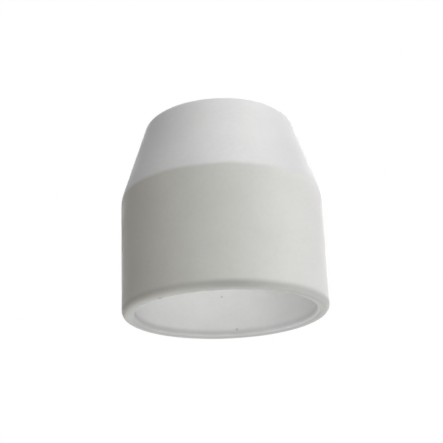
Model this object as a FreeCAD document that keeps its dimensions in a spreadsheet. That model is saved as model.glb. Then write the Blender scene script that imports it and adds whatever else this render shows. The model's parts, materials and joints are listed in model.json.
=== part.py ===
import FreeCAD, Part
import math
import os
import Sketcher

# Ceramic shield cap of a hand-held plasma torch: one fired piece, round about the Z axis.
# The wide mouth stands on the plane z = 0 and the nose points up along +Z.
# Inside, from the mouth: a smooth socket, a coarse moulded thread, a relief where the thread
# runs out, a tapered chamber, and a front wall with the opening that the nozzle looks out of.

SIZES = [
    # name, value in millimetres, what it measures
    ("socket_diameter", 28.0, "smooth bore at the mouth"),
    ("socket_depth", 10.0, "mouth plane to the start of the lead-in"),
    ("skirt_wall", 2.0, "wall round the socket"),
    ("skirt_height", 18.7, "mouth plane to the shoulder's corner"),
    ("cone_height", 13.1, "shoulder's corner to the nose face"),
    ("opening_diameter", 16.0, "opening in the nose"),
    ("nose_wall", 3.8, "opening to the outer corner of the nose"),
    ("front_wall", 3.5, "depth of the opening"),
    ("ledge_width", 1.9, "opening to the chamber's wall, on the seat of the nozzle's flange"),
    ("step_width", 1.1, "chamber's wall to the relief, on the step between them"),
    ("thread_step", 1.2, "socket wall in to the thread's crest"),
    ("thread_depth", 0.7, "crest to root"),
    ("thread_round", 1.2, "radius of the groove between two crests"),
    ("thread_pitch", 3.0, "crest to crest along the axis"),
    ("thread_length", 6.0, "stretch of wall at the crest's size"),
    ("runout_clearance", 0.1, "room round the groove where it runs out"),
    ("shoulder_round", 5.0, "blend between skirt and taper"),
    ("nose_round", 1.4, "outer edge of the nose"),
    ("rim_outer_round", 1.05, "outer edge of the mouth"),
    ("rim_inner_round", 0.85, "inner edge of the mouth"),
    ("opening_round", 0.6, "both edges of the opening"),
    ("chamber_round", 0.35, "corners inside the chamber"),
]

# A rounding takes no more than its own share of the wall that it is on.
OUTER_SHARE = 0.53
INNER_SHARE = 0.43

# A round edge nearer than this to a corner of the section is that corner's edge.
SAME_PLACE = 0.01

doc = FreeCAD.newDocument("plasma_torch_shield_cap")
sheet = doc.addObject("Spreadsheet::Sheet", "sizes")
for row, (alias, value, meaning) in enumerate(SIZES, start=1):
    sheet.set(f"A{row}", alias)
    sheet.set(f"B{row}", str(value))
    sheet.set(f"C{row}", meaning)
    sheet.setAlias(f"B{row}", alias)
doc.recompute()

# Sizes that follow from those in the sheet.
SOCKET_RADIUS = "sizes.socket_diameter / 2"
OPENING_RADIUS = "sizes.opening_diameter / 2"
CREST_RADIUS = "(sizes.socket_diameter / 2 - sizes.thread_step)"
LAND_TOP = "(sizes.socket_depth + sizes.thread_step + sizes.thread_length)"
RELIEF_STEP = "(sizes.thread_depth + sizes.runout_clearance)"

# The groove is a round tool's path. At either end the tool stands clear of the 45 degree slope
# beside the land, so the groove starts in the socket and stops in the relief.
TOOL_REACH = "(sizes.thread_round + sizes.runout_clearance)"
TOOL_RADIUS = f"({CREST_RADIUS} + sizes.thread_depth - sizes.thread_round)"
TOOL_START = (
    "(sizes.socket_depth + sizes.thread_step - sizes.thread_depth + sizes.thread_round"
    f" - sqrt(2) * {TOOL_REACH})"
)
TOOL_END = f"({LAND_TOP} + sizes.thread_depth - sizes.thread_round + sqrt(2) * {TOOL_REACH})"
RELIEF_TOP = f"({TOOL_END} + {TOOL_REACH})"

# The section's sides in order round the wall, from the mouth's inner corner. After them come
# the arc that blends the shoulder, and the point that marks the corner it takes off.
(RIM, SKIRT, CONE, NOSE, OPENING, LEDGE, CHAMBER, STEP, RELIEF, LAND_END, LAND, LEAD_IN,
 SOCKET, SHOULDER, SHOULDER_CORNER) = range(15)

# The ends of a side, and the sketch's own across line with the origin at its start.
START, END, CENTRE = range(1, 4)
MOUTH_PLANE = -1
ORIGIN = (MOUTH_PLANE, START)


def size(expression):
    """The value of a size in the sheet, or of an expression in those sizes."""
    if expression.isidentifier():
        expression = f"sizes.{expression}"
    return float(sheet.evalExpression(expression))


def vector(point):
    return FreeCAD.Vector(point[0], point[1], 0)


def arc_about(centre, radius, start, end):
    circle = Part.Circle(vector(centre), FreeCAD.Vector(0, 0, 1), radius)
    return Part.ArcOfCircle(circle, start, end)


def upright_sketch(body, name):
    """A sketch on the body's XZ plane: across is the radius, up is the height."""
    sketch = body.newObject("Sketcher::SketchObject", name)
    plane = next(f for f in body.Origin.OriginFeatures if f.Role == "XZ_Plane")
    sketch.AttachmentSupport = [(plane, "")]
    sketch.MapMode = "FlatFace"
    return sketch


def dimension(sketch, name, expression, kind, *where):
    """Adds one driving dimension, tied to the sheet by its expression."""
    number = sketch.addConstraint(Sketcher.Constraint(kind, *where, size(expression)))
    sketch.renameConstraint(number, name)
    sketch.setExpression(f"Constraints.{name}", expression)


def section_lines():
    """Start and end of each straight side of the section."""
    socket = size(SOCKET_RADIUS)
    rim = socket + size("skirt_wall")
    shoulder = size("skirt_height")
    top = shoulder + size("cone_height")
    opening = size(OPENING_RADIUS)
    nose = opening + size("nose_wall")
    ledge = top - size("front_wall")
    crest = size(CREST_RADIUS)
    relief = crest + size(RELIEF_STEP)
    relief_top = size(RELIEF_TOP)
    land_top = size(LAND_TOP)
    corners = [
        (socket, 0),
        (rim, 0),
        (rim, shoulder),
        (nose, top),
        (opening, top),
        (opening, ledge),
        (opening + size("ledge_width"), ledge),
        (relief - size("step_width"), relief_top),
        (relief, relief_top),
        (relief, land_top + size(RELIEF_STEP)),
        (crest, land_top),
        (crest, size("socket_depth") + size("thread_step")),
        (socket, size("socket_depth")),
    ]
    lines = list(zip(corners, corners[1:] + corners[:1]))
    lean = math.atan2(rim - nose, top - shoulder)
    trim = size("shoulder_round") * math.tan(lean / 2)
    blend_start = (rim, shoulder - trim)
    blend_end = (rim - trim * math.sin(lean), shoulder + trim * math.cos(lean))
    lines[SKIRT] = (lines[SKIRT][0], blend_start)
    lines[CONE] = (blend_end, lines[CONE][1])
    return lines, lean


def draw_section(body):
    """Half of the cap cut down its axis, before its edges are rounded and its thread cut."""
    sketch = upright_sketch(body, "wall_section")
    lines, lean = section_lines()
    for start, end in lines:
        sketch.addGeometry(Part.LineSegment(vector(start), vector(end)), False)
    blend_start = lines[SKIRT][1]
    blend_centre = (blend_start[0] - size("shoulder_round"), blend_start[1])
    sketch.addGeometry(arc_about(blend_centre, size("shoulder_round"), 0, lean), False)
    corner = (blend_start[0], size("skirt_height"))
    sketch.addGeometry(Part.Point(vector(corner)), True)

    for side in range(len(lines)):
        following = (side + 1) % len(lines)
        if side != SKIRT:
            sketch.addConstraint(Sketcher.Constraint("Coincident", side, END, following, START))
    sketch.addConstraint(Sketcher.Constraint("Tangent", SKIRT, END, SHOULDER, START))
    sketch.addConstraint(Sketcher.Constraint("Tangent", SHOULDER, END, CONE, START))
    for side in (SKIRT, CONE):
        sketch.addConstraint(Sketcher.Constraint("PointOnObject", SHOULDER_CORNER, START, side))
    for side in (RIM, NOSE, LEDGE, STEP):
        sketch.addConstraint(Sketcher.Constraint("Horizontal", side))
    for side in (SKIRT, OPENING, RELIEF, LAND, SOCKET):
        sketch.addConstraint(Sketcher.Constraint("Vertical", side))
    sketch.addConstraint(Sketcher.Constraint("PointOnObject", RIM, START, MOUTH_PLANE))

    def across(name, expression, *points):
        dimension(sketch, name, expression, "DistanceX", *points)

    def up(name, expression, *points):
        dimension(sketch, name, expression, "DistanceY", *points)

    across("socket_radius", SOCKET_RADIUS, *ORIGIN, RIM, START)
    across("skirt_wall", "sizes.skirt_wall", RIM, START, RIM, END)
    up("skirt_height", "sizes.skirt_height", *ORIGIN, SHOULDER_CORNER, START)
    dimension(sketch, "shoulder_round", "sizes.shoulder_round", "Radius", SHOULDER)
    up("cone_height", "sizes.cone_height", SHOULDER_CORNER, START, CONE, END)
    across("opening_radius", OPENING_RADIUS, *ORIGIN, OPENING, START)
    across("nose_wall", "sizes.nose_wall", NOSE, END, NOSE, START)
    up("front_wall", "sizes.front_wall", OPENING, END, OPENING, START)
    across("ledge_width", "sizes.ledge_width", LEDGE, START, LEDGE, END)
    across("step_width", "sizes.step_width", STEP, START, STEP, END)
    up("relief_top", RELIEF_TOP, *ORIGIN, RELIEF, START)
    across("relief_step", RELIEF_STEP, LAND_END, END, LAND_END, START)
    up("relief_slope", RELIEF_STEP, LAND_END, END, LAND_END, START)
    up("thread_length", "sizes.thread_length", LAND, END, LAND, START)
    across("thread_step", "sizes.thread_step", LEAD_IN, START, LEAD_IN, END)
    up("lead_in_slope", "sizes.thread_step", LEAD_IN, END, LEAD_IN, START)
    up("socket_depth", "sizes.socket_depth", SOCKET, END, SOCKET, START)
    doc.recompute()
    return sketch


def turn_section(body, sketch):
    """The section turned once about the Z axis."""
    turned = body.newObject("PartDesign::Revolution", "wall")
    turned.Profile = sketch
    turned.ReferenceAxis = (sketch, ["V_Axis"])
    turned.Angle = 360
    doc.recompute()
    return turned


def edge_at(shape, corner):
    """The name of the round edge that a corner of the section swept."""
    for number, edge in enumerate(shape.Edges, start=1):
        curve = edge.Curve
        if not isinstance(curve, Part.Circle):
            continue
        if math.hypot(curve.Radius - corner.x, curve.Center.z - corner.y) < SAME_PLACE:
            return f"Edge{number}"
    raise RuntimeError(f"no round edge at {corner}")


def round_edges(body, section, base):
    """The soft edges that moulding and firing leave, each on the feature before it."""
    outer = f"min(sizes.rim_outer_round; {OUTER_SHARE} * sizes.skirt_wall)"
    inner = f"min(sizes.rim_inner_round; {INNER_SHARE} * sizes.skirt_wall)"
    nose = f"min(sizes.nose_round; {OUTER_SHARE} * sizes.nose_wall)"
    ledge = f"{INNER_SHARE} * sizes.ledge_width"
    opening = f"min(sizes.opening_round; {INNER_SHARE} * sizes.front_wall; {ledge})"
    chamber = f"min(sizes.chamber_round; {INNER_SHARE} * sizes.step_width; {ledge})"
    rounds = [
        ("rim_outer_edge", [RIM], outer),
        ("rim_inner_edge", [SOCKET], inner),
        ("nose_edge", [CONE], nose),
        ("opening_edges", [NOSE, OPENING], opening),
        ("chamber_corners", [LEDGE, CHAMBER, STEP], chamber),
    ]
    for name, sides, radius in rounds:
        rounded = body.newObject("PartDesign::Fillet", name)
        rounded.Base = (base, [edge_at(base.Shape, section.getPoint(side, END)) for side in sides])
        rounded.setExpression("Radius", radius)
        doc.recompute()
        base = rounded
    return base


def cut_thread(body):
    """A round-bottomed right-hand groove wound up the land, open at both ends."""
    sketch = upright_sketch(body, "groove_section")
    centre = (size(TOOL_RADIUS), size(TOOL_START))
    tool = Part.Circle(vector(centre), FreeCAD.Vector(0, 0, 1), size("thread_round"))
    sketch.addGeometry(tool, False)
    dimension(sketch, "tool_round", "sizes.thread_round", "Radius", 0)
    dimension(sketch, "tool_radius", TOOL_RADIUS, "DistanceX", *ORIGIN, 0, CENTRE)
    dimension(sketch, "tool_start", TOOL_START, "DistanceY", *ORIGIN, 0, CENTRE)
    doc.recompute()
    thread = body.newObject("PartDesign::SubtractiveHelix", "thread")
    thread.Profile = sketch
    thread.ReferenceAxis = (sketch, ["V_Axis"])
    thread.Mode = "pitch-height-angle"
    thread.setExpression("Pitch", "sizes.thread_pitch")
    thread.setExpression("Height", f"{TOOL_END} - {TOOL_START}")
    doc.recompute()
    return thread


def check_model(cap, sketches, before_thread):
    """Stops with a message if anything failed, or if the groove cut nothing."""
    for item in doc.Objects:
        if "Invalid" in item.State or "Error" in item.State:
            raise RuntimeError(f"{item.Name} did not build: {item.State}")
    for sketch in sketches:
        if not sketch.FullyConstrained:
            raise RuntimeError(f"{sketch.Name} is not fully constrained")
    if cap.Shape.isNull() or not cap.Shape.isValid() or len(cap.Shape.Solids) != 1:
        raise RuntimeError("the cap is not one valid solid")
    if cap.Shape.Volume > before_thread - 1:
        raise RuntimeError("the thread's groove cut nothing")


shield_cap = doc.addObject("PartDesign::Body", "shield_cap")
shield_cap.Label = "shield_cap"
wall_section = draw_section(shield_cap)
wall = turn_section(shield_cap, wall_section)
plain_wall = round_edges(shield_cap, wall_section, wall)
plain_volume = plain_wall.Shape.Volume
thread = cut_thread(shield_cap)
check_model(shield_cap, [wall_section, thread.Profile[0]], plain_volume)

os.makedirs("parts", exist_ok=True)
shield_cap.Shape.exportStep(f"parts/{shield_cap.Label}.step")
print("height", round(shield_cap.Shape.BoundBox.ZLength, 3))
print("volume", round(shield_cap.Shape.Volume, 1))
print("taken out by the thread", round(plain_volume - shield_cap.Shape.Volume, 1))
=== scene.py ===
# %% [markdown]
# # A ceramic shield cap, from bare sizes to a finished picture
# The cap screws over the head of a plasma cutting torch and keeps hot spatter away from it. It is
# one piece of fired white ceramic: a round skirt with an open mouth, a shoulder, a taper and a
# blunt nose with a hole for the nozzle's tip.
#
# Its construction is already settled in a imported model, so the script starts from that. The frame
# gives the box of the whole part and the sizes of its bores, and everything below is fitted to
# them. The box is kept as it was, to compare with the finished piece at the end.

# %% Load the frame
import bpy
import json
import math
from mathutils import Matrix, Vector


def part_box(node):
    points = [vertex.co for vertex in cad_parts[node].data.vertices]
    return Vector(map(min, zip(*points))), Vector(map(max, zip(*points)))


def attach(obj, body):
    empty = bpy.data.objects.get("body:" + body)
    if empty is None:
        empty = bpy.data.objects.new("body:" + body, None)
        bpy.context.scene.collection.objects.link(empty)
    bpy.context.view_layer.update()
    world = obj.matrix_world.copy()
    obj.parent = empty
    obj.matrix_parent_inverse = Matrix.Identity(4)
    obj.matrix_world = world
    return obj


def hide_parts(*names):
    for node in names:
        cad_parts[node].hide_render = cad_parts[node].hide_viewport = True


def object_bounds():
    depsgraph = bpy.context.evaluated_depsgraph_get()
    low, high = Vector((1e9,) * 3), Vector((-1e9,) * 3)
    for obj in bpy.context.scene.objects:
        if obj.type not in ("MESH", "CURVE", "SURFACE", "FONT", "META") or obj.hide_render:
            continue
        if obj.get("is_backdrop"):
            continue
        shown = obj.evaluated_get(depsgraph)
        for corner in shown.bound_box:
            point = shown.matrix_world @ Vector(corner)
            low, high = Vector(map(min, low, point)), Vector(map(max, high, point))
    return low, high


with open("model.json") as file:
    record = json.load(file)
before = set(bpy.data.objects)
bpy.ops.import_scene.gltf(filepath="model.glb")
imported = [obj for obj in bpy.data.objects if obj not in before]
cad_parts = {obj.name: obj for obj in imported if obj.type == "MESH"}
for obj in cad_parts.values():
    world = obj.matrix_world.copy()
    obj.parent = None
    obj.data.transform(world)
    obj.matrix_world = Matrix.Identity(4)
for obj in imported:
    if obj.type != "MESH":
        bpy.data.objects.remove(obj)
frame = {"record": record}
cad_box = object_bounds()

MM = 0.001

low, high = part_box("shield_cap")
skirt_radius = (high.x - low.x) / 2
cap_height = high.z - low.z
print("skirt", round(skirt_radius / MM, 2), "mm in radius,", round(cap_height / MM, 2), "mm high")

# %% [markdown]
# ## The bores
# A round bore that something screws or slides into has a mount in the record, with its radius. To
# read them from there means that the picture's socket, thread and opening are the real ones, and
# that nobody has to measure them twice.

# %% Read the bores from the record
mounts = {mount["name"]: mount for mount in frame["record"]["mounts"]}


def bore_radius(name):
    return mounts[name]["dims"]["r_mm"] * MM


socket_radius = bore_radius("head_socket")
crest_radius = bore_radius("head_thread")
opening_radius = bore_radius("nozzle_opening")
bores = (socket_radius, crest_radius, opening_radius)
print("socket, thread and opening", [round(radius / MM, 2) for radius in bores])

# %% [markdown]
# ## The section
# A pressed and fired cup like this is round, so half of its section says everything about it. Each
# corner is a place (radius, height) with the radius of the rounding that moulding left there. A
# lathe in the script then does what the potter's tool would do.
#
# Why corners with roundings, and not a smooth curve through many points? Straight walls stay
# straight, each edge has its real size, and a reader can see which number belongs to which edge.

# %% The corners of the section
SKIRT_HEIGHT = 18.7 * MM
NOSE_WALL = 3.8 * MM
FRONT_WALL = 3.5 * MM
LEDGE_WIDTH = 1.9 * MM
STEP_WIDTH = 1.1 * MM
SOCKET_DEPTH = 10.0 * MM
THREAD_LENGTH = 6.0 * MM
THREAD_DEPTH = 0.7 * MM
THREAD_ROUND = 1.2 * MM
THREAD_PITCH = 3.0 * MM
CLEARANCE = 0.1 * MM
LIP_INNER_ROUND = 0.85 * MM
LIP_OUTER_ROUND = 1.05 * MM
SHOULDER_ROUND = 5.0 * MM
NOSE_ROUND = 1.4 * MM
OPENING_ROUND = 0.6 * MM
CHAMBER_ROUND = 0.35 * MM
LAND_ROUND = 0.15 * MM

thread_step = socket_radius - crest_radius
land_start = SOCKET_DEPTH + thread_step
land_end = land_start + THREAD_LENGTH
relief_radius = crest_radius + THREAD_DEPTH + CLEARANCE

# The groove is a round tool's path, which starts and stops clear of the wall.
tool_radius = crest_radius + THREAD_DEPTH - THREAD_ROUND
tool_reach = THREAD_ROUND + CLEARANCE
tool_start = land_start - THREAD_DEPTH + THREAD_ROUND - math.sqrt(2) * tool_reach
tool_end = land_end + THREAD_DEPTH - THREAD_ROUND + math.sqrt(2) * tool_reach
relief_end = tool_end + tool_reach

corners = [
    (socket_radius, 0, LIP_INNER_ROUND),
    (skirt_radius, 0, LIP_OUTER_ROUND),
    (skirt_radius, SKIRT_HEIGHT, SHOULDER_ROUND),
    (opening_radius + NOSE_WALL, cap_height, NOSE_ROUND),
    (opening_radius, cap_height, OPENING_ROUND),
    (opening_radius, cap_height - FRONT_WALL, OPENING_ROUND),
    (opening_radius + LEDGE_WIDTH, cap_height - FRONT_WALL, CHAMBER_ROUND),
    (relief_radius - STEP_WIDTH, relief_end, CHAMBER_ROUND),
    (relief_radius, relief_end, CHAMBER_ROUND),
    (relief_radius, land_end + relief_radius - crest_radius, LAND_ROUND),
    (crest_radius, land_end, LAND_ROUND),
    (crest_radius, land_start, LAND_ROUND),
    (socket_radius, SOCKET_DEPTH, LAND_ROUND),
]
print(len(corners), "corners, from the mouth's inner edge round to the socket")

# %% [markdown]
# ## Rounding the corners
# Each rounding is an arc that touches both walls. Its two ends lie as far from the corner as the
# radius times the tangent of half the turn. A little extra care: an arc needs steps that are small
# in angle, a straight wall needs rings now and then, and the wall that carries the thread needs
# them close together, because the groove is shaped ring by ring.

# %% From corners to a path
ARC_STEP = math.radians(9)
WALL_STEP = 1.0 * MM
THREAD_STEP = 0.1 * MM


def straight(start, end):
    """Points along a straight wall, without its last one."""
    inside = max(start.x, end.x) <= socket_radius and min(start.y, end.y) > SOCKET_DEPTH / 2
    threaded = inside and max(start.y, end.y) <= relief_end
    step = THREAD_STEP if threaded else WALL_STEP
    count = max(1, math.ceil((end - start).length / step))
    return [start.lerp(end, i / count) for i in range(count)]


def arc(before, corner, after, radius):
    """Points of the arc that rounds one corner, both ends included."""
    to_before = (before - corner).normalized()
    to_after = (after - corner).normalized()
    turn = math.pi - to_before.angle(to_after)
    trim = radius * math.tan(turn / 2)
    middle = (to_before + to_after).normalized()
    centre = corner + middle * (radius / math.cos(turn / 2))
    start = corner + to_before * trim - centre
    across = corner + to_after * trim - centre
    count = max(3, math.ceil(turn / ARC_STEP))
    points = []
    for i in range(count + 1):
        share = i / count
        weight_start = math.sin((1 - share) * turn) / math.sin(turn)
        weight_end = math.sin(share * turn) / math.sin(turn)
        points.append(centre + start * weight_start + across * weight_end)
    return points


def rounded_path(corners):
    places = [Vector((radius, height)) for radius, height, _ in corners]
    arcs = []
    for i, (_, _, radius) in enumerate(corners):
        arcs.append(arc(places[i - 1], places[i], places[(i + 1) % len(places)], radius))
    path = []
    for i, points in enumerate(arcs):
        path += points[:-1]
        path += straight(points[-1], arcs[(i + 1) % len(arcs)][0])
    return path


section = rounded_path(corners)
print(len(section), "points round the section")

# %% [markdown]
# ## The thread
# A moulded thread is a round-bottomed groove that climbs inside the socket: one turn round, one
# pitch up. It could be cut with a boolean, which leaves a ragged edge that can't be smoothed. Here
# each point of the inner wall asks instead how deep the tool reaches at its own angle and height,
# and moves outward to the deeper of wall and groove. A soft maximum takes the place of a hard one,
# so that the crests come out rounded, as fired ceramic is.

# %% How far the wall moves for the groove
CREST_SOFTNESS = 0.12 * MM
TURN = 2 * math.pi


def groove_radius(angle, height):
    """Radius of the groove's wall at a place, or None where the tool doesn't pass."""
    lift = tool_start + THREAD_PITCH * (angle % TURN) / TURN
    turns = round((height - lift) / THREAD_PITCH)
    middle = lift + THREAD_PITCH * max(turns, 0)
    away = abs(height - middle)
    if away >= THREAD_ROUND or middle > tool_end:
        return None
    return tool_radius + math.sqrt(THREAD_ROUND ** 2 - away ** 2)


def threaded_radius(radius, angle, height):
    groove = groove_radius(angle, height)
    if groove is None:
        return radius
    gap = groove - radius
    return radius + (gap + math.sqrt(gap ** 2 + CREST_SOFTNESS ** 2)) / 2


crest = threaded_radius(crest_radius, 0, tool_start + 1.5 * THREAD_PITCH)
root = threaded_radius(crest_radius, 0, tool_start + THREAD_PITCH)
print("crest", round(crest / MM, 2), "mm, root", round(root / MM, 2), "mm")

# %% [markdown]
# ## Turning the section into a body
# The path is swept round the axis: one ring of points for each point of the path, and a strip of
# quads between a ring and the next. The last ring joins the first, because the section is closed
# all the way through the hole, so the body has an inside and an outside and no open edge. That is
# also why no cap or seam has to be hidden anywhere.
#
# No fired cup is perfectly round. A slow wave of about a hundredth of a millimetre round the wall
# is too small to measure in the picture, but it keeps the reflections from looking machined.

# %% Turn the body
SEGMENTS = 288
WAVE_HEIGHT = 0.015 * MM


def out_of_round(angle, height):
    slow = math.sin(2 * angle + 0.6 + height / (9 * MM))
    quick = math.sin(5 * angle + 2.1 - height / (5 * MM))
    return WAVE_HEIGHT * (0.7 * slow + 0.3 * quick)


def place(point, angle):
    radius, height = point
    if radius <= socket_radius + CREST_SOFTNESS and SOCKET_DEPTH / 2 < height < relief_end:
        radius = threaded_radius(radius, angle, height)
    radius += out_of_round(angle, height)
    return (radius * math.cos(angle), radius * math.sin(angle), low.z + height)


def turned_body(name, path):
    angles = [TURN * i / SEGMENTS for i in range(SEGMENTS)]
    vertices = [place(point, angle) for point in path for angle in angles]
    faces = []
    for ring in range(len(path)):
        below = ring * SEGMENTS
        above = (ring + 1) % len(path) * SEGMENTS
        for i in range(SEGMENTS):
            j = (i + 1) % SEGMENTS
            faces.append((below + i, below + j, above + j, above + i))
    mesh = bpy.data.meshes.new(name)
    mesh.from_pydata(vertices, [], faces)
    mesh.shade_smooth()
    piece = bpy.data.objects.new(name, mesh)
    bpy.context.scene.collection.objects.link(piece)
    return piece


cap = turned_body("ceramic_cap", section)
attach(cap, "root")
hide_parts("shield_cap")
print("rings", len(section), "triangles", 2 * len(cap.data.polygons))

# %% [markdown]
# ## Helpers for materials
# A material is a tree of nodes. Written out one by one, the tree hides what it is for, so a few
# small helpers do the plumbing: one adds a node and fills or links its inputs, one makes a noise
# whose blobs have a size in real millimetres, one turns a stretch of values into a soft step, and
# two more calculate and mix colours.

# %% Material helpers
def node(tree, kind, inputs=None, **settings):
    """A new node. An input is a plain value, or the output of another node."""
    made = tree.nodes.new(kind)
    for name, value in settings.items():
        setattr(made, name, value)
    for name, value in (inputs or {}).items():
        if isinstance(value, bpy.types.NodeSocket):
            tree.links.new(value, made.inputs[name])
        else:
            made.inputs[name].default_value = value
    return made


# Nearly all of a noise lies between these two values.
NOISE_RANGE = (0.3, 0.7)


def noise(tree, place, blob, detail=2.0):
    """Cloudy values from 0 to 1, with blobs of about the size given."""
    made = node(tree, "ShaderNodeTexNoise", {"Vector": place, "Scale": 1 / blob, "Detail": detail})
    return made.outputs["Fac"]


def soft_step(tree, value, start, end, low_value=0.0, high_value=1.0):
    """Goes softly from the low value at the start to the high value at the end."""
    inputs = {
        "Value": value,
        "From Min": start,
        "From Max": end,
        "To Min": low_value,
        "To Max": high_value,
    }
    made = node(tree, "ShaderNodeMapRange", inputs, interpolation_type="SMOOTHSTEP")
    return made.outputs["Result"]


def calculate(tree, operation, first, second):
    return node(tree, "ShaderNodeMath", {0: first, 1: second}, operation=operation).outputs[0]


# The mix node's colour sockets share their names with its number sockets, so they go by number.
COLOUR_A = 6
COLOUR_B = 7
COLOUR_RESULT = 2


def mix_colour(tree, share, first, second, blend_type="MIX"):
    inputs = {"Factor": share, COLOUR_A: first, COLOUR_B: second}
    made = node(tree, "ShaderNodeMix", inputs, data_type="RGBA", blend_type=blend_type)
    return made.outputs[COLOUR_RESULT]


print("helpers ready")

# %% [markdown]
# ## Three whites
# Fired ceramic is hardly ever one white. On this cup the nose is a plain cool white, painted a
# touch greyer on its right as painted shade, and the bore is painted whiter still, as painted
# light. From the shoulder down to the lip the skirt is faintly ivory, with a breath of green in it,
# and darker, partly as painted shade. The change runs round the shoulder and isn't quite even. The
# skirt also turns warmer towards its left, and is painted paler towards its right as painted light.
#
# The material therefore asks where a point is: how high, how far from the axis, how far to the
# side. A soft step for each of them chooses between the whites. It needs no unwrapping, and stays
# put from every side.

# %% Three whites and their borders
NOSE_WHITE = (0.85, 0.85, 0.845, 1.0)
# Painted shade: the nose is painted greyer towards its right.
NOSE_PAINTED_SHADE = (0.76, 0.76, 0.76, 1.0)
NOSE_SHADE_SIDE = (0.3 * skirt_radius, 0.8 * skirt_radius)
# Painted light: the bore is painted whiter than the nose.
BORE_LIT_WHITE = (0.9, 0.9, 0.895, 1.0)
# The skirt's faint ivory, set darker than the nose partly as painted shade.
SKIRT_IVORY_AND_SHADE = (0.67, 0.68, 0.635, 1.0)
SKIRT_WARM = (0.675, 0.65, 0.595, 1.0)
# Painted light: the skirt is painted paler towards its right.
SKIRT_LIT_WHITE = (0.825, 0.82, 0.8, 1.0)
WARM_SIDE = (-0.1 * skirt_radius, -0.75 * skirt_radius)
LIT_SIDE = (0.0, 0.88 * skirt_radius)
BOUNDARY_WIDTH = 0.9 * MM
BOUNDARY_WANDER = 0.6 * MM
WANDER_BLOB = 5 * MM
BOUNDARY_LIFT = 0.2 * MM
LIP_INSIDE = (socket_radius + 0.2 * MM, socket_radius + 0.8 * MM)


def distance_from_axis(tree, place):
    apart = node(tree, "ShaderNodeSeparateXYZ", {"Vector": place})
    flat = node(tree, "ShaderNodeCombineXYZ", {"X": apart.outputs["X"], "Y": apart.outputs["Y"]})
    away = node(tree, "ShaderNodeVectorMath", {0: flat.outputs[0]}, operation="LENGTH")
    return away.outputs["Value"]


# The skirt's white, warmer towards its left and, as painted light, paler towards its right.
def skirt_white(tree, place):
    to_the_right = node(tree, "ShaderNodeSeparateXYZ", {"Vector": place}).outputs["X"]
    warm = soft_step(tree, to_the_right, *WARM_SIDE)
    lit = soft_step(tree, to_the_right, *LIT_SIDE)
    left_half = mix_colour(tree, warm, SKIRT_IVORY_AND_SHADE, SKIRT_WARM)
    return mix_colour(tree, lit, left_half, SKIRT_LIT_WHITE)


def three_whites(tree, place):
    wander = calculate(tree, "MULTIPLY", noise(tree, place, WANDER_BLOB), BOUNDARY_WANDER)
    apart = node(tree, "ShaderNodeSeparateXYZ", {"Vector": place})
    height = calculate(tree, "ADD", apart.outputs["Z"], wander)
    middle = low.z + SKIRT_HEIGHT + BOUNDARY_LIFT + BOUNDARY_WANDER / 2
    below = soft_step(tree, height, middle + BOUNDARY_WIDTH / 2, middle - BOUNDARY_WIDTH / 2)
    outside = soft_step(tree, distance_from_axis(tree, place), *LIP_INSIDE)
    # The bore's whiter white is painted light.
    bore_or_skirt = mix_colour(tree, outside, BORE_LIT_WHITE, skirt_white(tree, place))
    # Painted shade greys the nose towards its right.
    nose = mix_colour(tree, soft_step(tree, apart.outputs["X"], *NOSE_SHADE_SIDE), NOSE_WHITE, NOSE_PAINTED_SHADE)
    return mix_colour(tree, below, nose, bore_or_skirt)


print("the skirt's white ends", round((SKIRT_HEIGHT + BOUNDARY_LIFT) / MM, 2), "mm up")

# %% [markdown]
# ## The lip
# The lip is darkened in a soft ring about a millimetre high. This is painted shade: the band where
# the rounding turns away from the light above, before the light from below reaches it. Inside, and
# in two places outside, the painted shade is lifted a little, as painted light. The narrow face
# that it stands on is painted one grey white all round.
#
# Height alone says where the ring and the face are, inside and outside alike. One soft step brings
# the painted shade back to plain white above the ring, and another, close to the bottom, lays the
# face's grey white over it.

# %% How dark the lip is
# Painted shade round the lip: how dark the ring is outside and by the bore, and how much painted
# light lifts it.
LIP_SHADE = 0.64
BORE_EDGE_SHADE = 0.72
SHADE_LIFT = 1.17

# Angle round the axis from +X, and how far along it the painted light starts and is full.
LIFTED_PLACES = [
    (0, 0.05 * skirt_radius, 0.65 * skirt_radius),
    (230, 0.75 * skirt_radius, 0.96 * skirt_radius),
]
LIP_RING = (0.6 * MM, 1.6 * MM)
# The face's flat grey white, laid over the lip's painted shade.
FACE_WHITE = (0.5, 0.5, 0.48, 1.0)
FACE_EDGE = (0.3 * MM, 0.05 * MM)


def painted_lift(tree, place):
    """1 round most of the lip, and more where painted light lifts the lip's painted shade."""
    most = 1.0
    for degrees, start, full in LIFTED_PLACES:
        angle = math.radians(degrees)
        towards = (math.cos(angle), math.sin(angle), 0)
        along = node(tree, "ShaderNodeVectorMath", {0: place, 1: towards}, operation="DOT_PRODUCT")
        here = soft_step(tree, along.outputs["Value"], start, full, 1.0, SHADE_LIFT)
        most = calculate(tree, "MAXIMUM", most, here)
    return most


def with_lip(tree, place, whites):
    """The whites, with painted shade round the lip, laid over with the face's grey white."""
    apart = node(tree, "ShaderNodeSeparateXYZ", {"Vector": place})
    height = calculate(tree, "SUBTRACT", apart.outputs["Z"], low.z)
    outward = distance_from_axis(tree, place)
    painted_depth = soft_step(tree, outward, *LIP_INSIDE, BORE_EDGE_SHADE, LIP_SHADE)
    darkest = calculate(tree, "MULTIPLY", painted_depth, painted_lift(tree, place))
    ring = soft_step(tree, height, *LIP_RING, darkest, 1.0)
    ringed = mix_colour(tree, 1.0, whites, ring, "MULTIPLY")
    return mix_colour(tree, soft_step(tree, height, *FACE_EDGE), ringed, FACE_WHITE)


print("the lip's ring fades out", round(LIP_RING[1] / MM, 1), "mm up")

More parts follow.
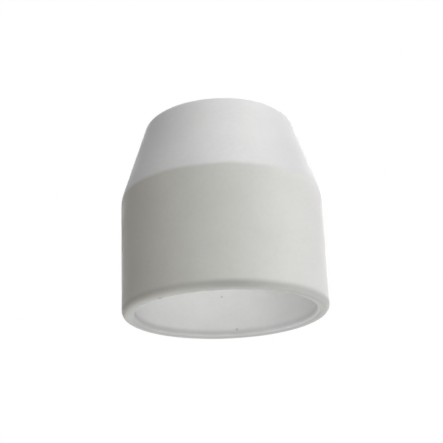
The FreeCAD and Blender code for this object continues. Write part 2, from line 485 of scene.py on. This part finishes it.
# %% [markdown]
# ## Clouds and specks
# Close up, two more things tell ceramic from plastic. The powder never mixes quite evenly, so the
# white drifts in clouds of a few millimetres, with a finer mottle inside them. And here and there
# a grain of iron or a pore has fired into a dark speck, a tenth of a millimetre across.
#
# Cells of a Voronoi pattern scatter the small ones: each cell has a random shade of its own, and
# only the few cells above a limit show theirs. The three that can be picked out in the picture are
# placed one by one: one well up the bore's far wall, one low on it, and one on the lip in front.

# %% Clouds and specks
CLOUD_BLOB = 6 * MM
CLOUD_SHADE = 0.035
MOTTLE_BLOB = 0.6 * MM
MOTTLE_SHADE = 0.02
SPECK_CELL = 1.6 * MM
SPECK_SIZE = 0.07 * MM
SPECK_RARITY = 0.9
SPECK_DARKNESS = 0.35

# Angle round the axis from +X, radius, height, size and darkness of each mark.
MARKS = [
    (92.4, socket_radius, 7.0 * MM, 0.3 * MM, 0.22),
    (231.2, socket_radius + 0.9 * MM, 0.0, 0.5 * MM, 0.35),
    (82.9, socket_radius, 1.25 * MM, 0.32 * MM, 0.22),
]


def clouds(tree, place):
    """A shade of grey near white, to multiply a colour by."""
    cloud = noise(tree, place, CLOUD_BLOB, detail=3.0)
    broad = soft_step(tree, cloud, *NOISE_RANGE, 1 - CLOUD_SHADE, 1.0)
    mottle = noise(tree, place, MOTTLE_BLOB)
    fine = soft_step(tree, mottle, *NOISE_RANGE, 1 - MOTTLE_SHADE, 1.0)
    return calculate(tree, "MULTIPLY", broad, fine)


def scattered_specks(tree, place):
    cells = node(tree, "ShaderNodeTexVoronoi", {"Vector": place, "Scale": 1 / SPECK_CELL})
    reach = SPECK_SIZE / SPECK_CELL
    near = soft_step(tree, cells.outputs["Distance"], reach, reach / 2)
    lottery = node(tree, "ShaderNodeSeparateColor", {"Color": cells.outputs["Color"]})
    chosen = calculate(tree, "GREATER_THAN", lottery.outputs[0], SPECK_RARITY)
    return calculate(tree, "MULTIPLY", near, chosen)


def placed_marks(tree, place):
    """How dark the listed marks make each place."""
    placed = 0.0
    for degrees, radius, height, mark_size, darkness in MARKS:
        angle = math.radians(degrees)
        middle = (radius * math.cos(angle), radius * math.sin(angle), low.z + height)
        away = node(tree, "ShaderNodeVectorMath", {0: place, 1: middle}, operation="DISTANCE")
        mark = soft_step(tree, away.outputs["Value"], mark_size, mark_size / 3, 0.0, darkness)
        placed = calculate(tree, "MAXIMUM", placed, mark)
    return placed


def speck_shade(tree, place):
    small = calculate(tree, "MULTIPLY", scattered_specks(tree, place), SPECK_DARKNESS)
    darker = calculate(tree, "MAXIMUM", small, placed_marks(tree, place))
    return calculate(tree, "SUBTRACT", 1.0, darker)


print(len(MARKS), "marks placed by hand")

# %% [markdown]
# ## The surface
# This ceramic isn't glazed like a cup for tea. It has the low sheen of something fired hard: wide
# soft highlights, no mirror. Roughness drifts a little, because rubbed places are smoother, and a
# bump of a few thousandths of a millimetre gives the grain. Bump only changes the shading, so it
# may be that fine. Everything larger is in the mesh.

# %% The ceramic
RUBBED_ROUGHNESS = 0.46
PLAIN_ROUGHNESS = 0.58
RUBBED_BLOB = 3 * MM
REFLECTION_LEVEL = 0.18
GRAIN = 0.22 * MM
GRAIN_HEIGHT = 0.006 * MM
DRAG_LENGTH = 2.5 * MM
DRAG_HEIGHT = 0.01 * MM


def surface_relief(tree, place):
    grain = calculate(tree, "MULTIPLY", noise(tree, place, GRAIN), GRAIN_HEIGHT)
    drag = calculate(tree, "MULTIPLY", noise(tree, place, DRAG_LENGTH, 1.0), DRAG_HEIGHT)
    height = calculate(tree, "ADD", grain, drag)
    return node(tree, "ShaderNodeBump", {"Height": height, "Strength": 1.0, "Distance": 1.0})


def ceramic():
    material = bpy.data.materials.new("fired_ceramic")
    material.use_nodes = True
    tree = material.node_tree
    place = node(tree, "ShaderNodeTexCoord").outputs["Object"]
    shade = calculate(tree, "MULTIPLY", clouds(tree, place), speck_shade(tree, place))
    whites = with_lip(tree, place, three_whites(tree, place))
    colour = mix_colour(tree, 1.0, whites, shade, "MULTIPLY")
    rubbed = noise(tree, place, RUBBED_BLOB)
    roughness = soft_step(tree, rubbed, *NOISE_RANGE, RUBBED_ROUGHNESS, PLAIN_ROUGHNESS)
    surface = tree.nodes["Principled BSDF"]
    surface.inputs["Specular IOR Level"].default_value = REFLECTION_LEVEL
    tree.links.new(colour, surface.inputs["Base Color"])
    tree.links.new(roughness, surface.inputs["Roughness"])
    tree.links.new(surface_relief(tree, place).outputs["Normal"], surface.inputs["Normal"])
    return material


cap.data.materials.append(ceramic())
print("nodes in the ceramic", len(cap.data.materials[0].node_tree.nodes))

# %% [markdown]
# ## The floor
# The cap stands on its mouth, and the picture looks up into that mouth from below. A real
# photographer would use a glass table. Here the floor shows its upper side only, and only to the
# camera: seen from below, and for all light, it isn't there. So the mouth stays lit, and a view
# from above still has a pale floor with the cap's soft shadow on it.
#
# The floor is soft paper, into which the lip presses by half a millimetre. With the floor just
# touching, the lamps below would draw a thin bright line round the foot, because the paper doesn't
# stop them. Far out the floor turns into plain white, so that it meets the background without a
# horizon.

# %% The floor
FLOOR_REACH = 3.0
FLOOR_GIVE = 0.5 * MM
FLOOR_WHITE = (0.9, 0.9, 0.9, 1.0)
FADE_START = 1.5 * skirt_radius
FADE_END = 9 * skirt_radius


def floor_material():
    material = bpy.data.materials.new("pale_floor")
    material.use_nodes = True
    tree = material.node_tree
    tree.nodes.clear()
    place = node(tree, "ShaderNodeTexCoord").outputs["Object"]
    away = node(tree, "ShaderNodeVectorMath", {0: place}, operation="LENGTH")
    fade = soft_step(tree, away.outputs["Value"], FADE_START, FADE_END)
    paper = node(tree, "ShaderNodeBsdfDiffuse", {"Color": FLOOR_WHITE})
    white = node(tree, "ShaderNodeEmission", {"Strength": 1.0})
    blend = {0: fade, 1: paper.outputs[0], 2: white.outputs[0]}
    paper_to_white = node(tree, "ShaderNodeMixShader", blend)
    seen = node(tree, "ShaderNodeLightPath").outputs["Is Camera Ray"]
    underside = node(tree, "ShaderNodeNewGeometry").outputs["Backfacing"]
    shown = calculate(tree, "MULTIPLY", seen, calculate(tree, "SUBTRACT", 1.0, underside))
    clear = node(tree, "ShaderNodeBsdfTransparent")
    choice = {0: shown, 1: clear.outputs[0], 2: paper_to_white.outputs[0]}
    one_sided = node(tree, "ShaderNodeMixShader", choice)
    node(tree, "ShaderNodeOutputMaterial", {"Surface": one_sided.outputs[0]})
    return material


def flat_disc(name, radius, height):
    count = 64
    angles = [TURN * i / count for i in range(count)]
    rim = [(radius * math.cos(angle), radius * math.sin(angle), 0) for angle in angles]
    mesh = bpy.data.meshes.new(name)
    mesh.from_pydata(rim, [], [tuple(range(count))])
    disc = bpy.data.objects.new(name, mesh)
    disc.location = (0, 0, height)
    bpy.context.scene.collection.objects.link(disc)
    return disc


floor = flat_disc("floor", FLOOR_REACH, low.z + FLOOR_GIVE)
floor.data.materials.append(floor_material())
floor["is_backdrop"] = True
print("floor", FLOOR_REACH, "m in radius")

# %% [markdown]
# ## The light
# The picture's light is soft and comes from the front right, above and below: the left side of the
# skirt falls away slowly, the taper is brighter than the skirt, the mouth is well lit and nothing
# sparkles. Large lamps close by do that. Two stand above, a key in front and one to the side, with
# a faint one level in front. Three below look into the mouth, as a white table under it would. Two
# behind keep the back pale, turned so far round that they hardly touch what the picture shows.
#
# Light adds up, so the levels needn't be guessed: a render with each lamp alone shows what it
# gives to each place, and the shares of each that match the picture can then be worked out.
#
# A lamp's power says little, so each lamp is given the level that a white wall facing it would
# show, from 0 to 1. For a lamp at distance d that takes a power of level x pi x pi x d x d.

# %% The lamps
LAMP_DISTANCE = 0.45
LAMP_WIDTH = 0.5
LAMPS = [
    # name, bearing from the front to the right, elevation, level
    ("key", 20, 60, 0.60),
    ("side", 70, 35, 0.435),
    ("front", 10, 5, 0.10),
    ("mouth_front", 30, -50, 0.66),
    ("mouth_left", -70, -50, 0.28),
    ("mouth_back", 180, -60, 0.36),
    ("back_right", 155, 20, 0.38),
    ("back_left", -177, 20, 0.42),
]


def soft_lamp(name, bearing, elevation, level):
    bearing = math.radians(bearing)
    elevation = math.radians(elevation)
    sideways = math.sin(bearing) * math.cos(elevation)
    towards_front = math.cos(bearing) * math.cos(elevation)
    direction = Vector((sideways, -towards_front, math.sin(elevation)))
    lamp = bpy.data.lights.new(name, "AREA")
    lamp.shape = "DISK"
    lamp.size = LAMP_WIDTH
    lamp.energy = level * math.pi ** 2 * LAMP_DISTANCE ** 2
    holder = bpy.data.objects.new(name, lamp)
    holder.location = Vector((0, 0, cap_height / 2)) + direction * LAMP_DISTANCE
    holder.rotation_euler = direction.to_track_quat("Z", "Y").to_euler()
    holder.visible_camera = False
    bpy.context.scene.collection.objects.link(holder)


for lamp in LAMPS:
    soft_lamp(*lamp)
print(len(LAMPS), "lamps")

# %% [markdown]
# ## The surroundings
# The background is pure white, but white walls all round would light the cap flat. Light Path
# tells the world what kind of ray asks: the camera and reflections see white, and everything else
# gets very little, because the lamps already do the lighting.

# %% The world
ROOM_LEVEL = 0.02


def white_room():
    world = bpy.data.worlds.new("white_room")
    world.use_nodes = True
    tree = world.node_tree
    tree.nodes.clear()
    ray = node(tree, "ShaderNodeLightPath")
    seen = calculate(tree, "MAXIMUM", ray.outputs["Is Camera Ray"], ray.outputs["Is Glossy Ray"])
    seen = calculate(tree, "MAXIMUM", seen, ray.outputs["Is Transmission Ray"])
    grey = node(tree, "ShaderNodeBackground", {"Strength": ROOM_LEVEL})
    white = node(tree, "ShaderNodeBackground", {"Strength": 1.0})
    for background in (grey, white):
        background.inputs["Color"].default_value = (1, 1, 1, 1)
    room = node(tree, "ShaderNodeMixShader", {0: seen, 1: grey.outputs[0], 2: white.outputs[0]})
    node(tree, "ShaderNodeOutputWorld", {"Surface": room.outputs[0]})
    return world


bpy.context.scene.world = white_room()
bpy.context.scene.view_settings.view_transform = "Standard"
print("room level", ROOM_LEVEL)

# %% [markdown]
# ## The camera
# The camera was found by matching the outline of a turned body to the picture: the ellipse of the
# mouth gives how far below the cap the camera is, the taper of the skirt's two sides gives how
# near, and the lean of the axis gives the roll. It stands 16 cm away, about 20 degrees below
# level, so the skirt widens towards the mouth.

# %% The camera
CAMERA_BELOW = math.radians(19.94)
CAMERA_ROLL = math.radians(2.265)
CAMERA_DISTANCE = 157.6 * MM
CAMERA_LENS = 80.26
AIM_DROP = 0.34 * MM
AIM_LEFT = 0.11 * MM


def photo_camera():
    ahead = Vector((0, math.cos(CAMERA_BELOW), math.sin(CAMERA_BELOW)))
    level_up = Vector((0, -math.sin(CAMERA_BELOW), math.cos(CAMERA_BELOW)))
    level_right = Vector((1, 0, 0))
    up = level_up * math.cos(CAMERA_ROLL) + level_right * math.sin(CAMERA_ROLL)
    right = ahead.cross(up)
    middle = Vector((0, 0, low.z + cap_height / 2)) - up * AIM_DROP - right * AIM_LEFT
    data = bpy.data.cameras.new("photo_camera")
    data.lens = CAMERA_LENS
    data.clip_start = 10 * MM
    camera = bpy.data.objects.new("photo_camera", data)
    turned = Matrix((right, up, -ahead)).transposed().to_4x4()
    camera.matrix_world = Matrix.Translation(middle - ahead * CAMERA_DISTANCE) @ turned
    bpy.context.scene.collection.objects.link(camera)
    return camera


bpy.context.scene.camera = photo_camera()
print("camera at", [round(x / MM, 1) for x in bpy.context.scene.camera.location], "mm")

# %% [markdown]
# ## Does it still fit?
# The finished piece has to fill the same box as the construction it stands for. The two boxes are
# compared, and the script prints how far the top corner has grown.

# %% Compare the boxes and finish
bpy.context.view_layer.update()
visual_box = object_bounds()
grown = [round((visual_box[1][i] - cad_box[1][i]) / MM, 3) for i in range(3)]
print("grown by", grown, "mm at the top corner")
